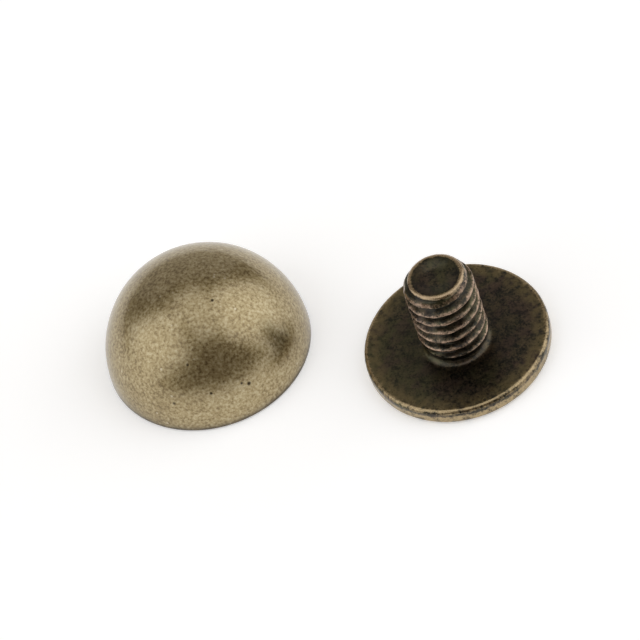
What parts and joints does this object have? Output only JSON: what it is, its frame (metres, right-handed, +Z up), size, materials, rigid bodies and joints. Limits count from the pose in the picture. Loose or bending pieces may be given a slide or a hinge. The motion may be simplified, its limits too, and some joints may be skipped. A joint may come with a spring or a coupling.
{
  "type": "dome rivet",
  "caption": "Screw-back dome rivet: a hemispherical antique brass cap with a tapped blind hole, and its wide flat-headed screw, standing apart.",
  "frame": {"origin": "centre of the pair's footprint, on the surface that both pieces stand on", "axes": "+X runs from the cap to the screw, +Z is up, out of the top of the dome and along the screw's shank towards its tip"},
  "size_m": [0.0264, 0.012, 0.0069],
  "materials": {
    "satin_brass": "satin antique brass with a fine blasted speckle",
    "dark_brass": "dark antiqued brass, worn bright on the edges"
  },
  "bodies": {
    "root": {"dome_cap": "satin_brass", "screw": "dark_brass"}
  },
  "joints": []
}
